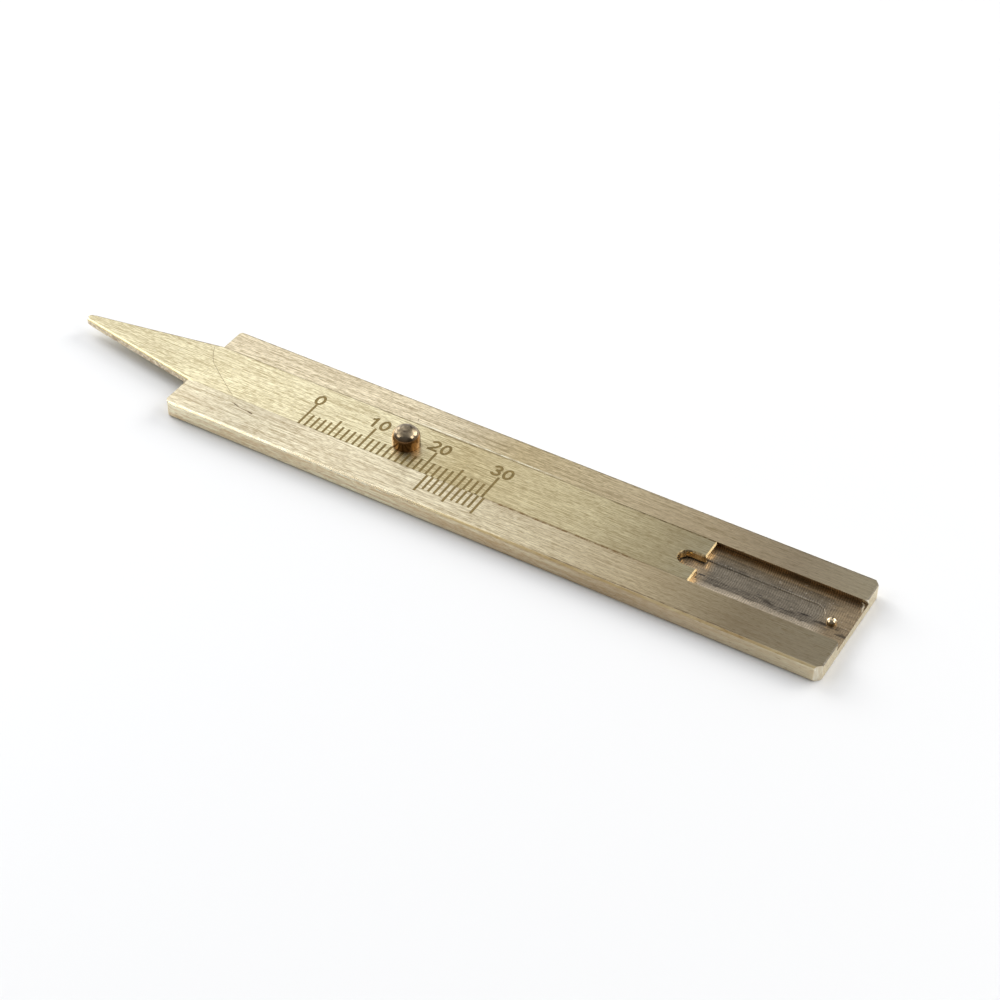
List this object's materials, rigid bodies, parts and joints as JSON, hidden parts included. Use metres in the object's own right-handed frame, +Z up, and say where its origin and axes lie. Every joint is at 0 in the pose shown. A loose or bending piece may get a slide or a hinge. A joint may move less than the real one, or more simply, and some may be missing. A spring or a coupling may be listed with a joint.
{
  "type": "tread depth gauge",
  "caption": "Flat brass bar with a dovetail groove, a graduated pointed blade that slides in it, a vernier on the rail, a thumb stud and a zero stop, for reading the depth of a tyre's tread.",
  "frame": {"origin": "middle of the bar's underside", "axes": "+X along the bar in the direction that the scale reads, so the tip points to -X; +Y across the bar, away from the vernier's rail; +Z up, out of the graduated face"},
  "size_m": [0.1234, 0.019, 0.0055],
  "materials": {
    "bar_brass": "brushed along its length",
    "blade_brass": "brushed along its length, with dark etched lines",
    "stud_bronze": "polished",
    "spring_bronze": "rolled strip"
  },
  "bodies": {
    "bar": {"bar_body": "bar_brass", "zero_stop_pin": "stud_bronze"},
    "blade": {"scale_blade": "blade_brass", "thumb_stud": "stud_bronze", "friction_spring": "spring_bronze"}
  },
  "joints": [
    {"name": "blade_slide", "type": "slide", "parent": "bar", "child": "blade", "axis": [-1, 0, 0], "range_m": [-0.0214, 0.0086]}
  ]
}
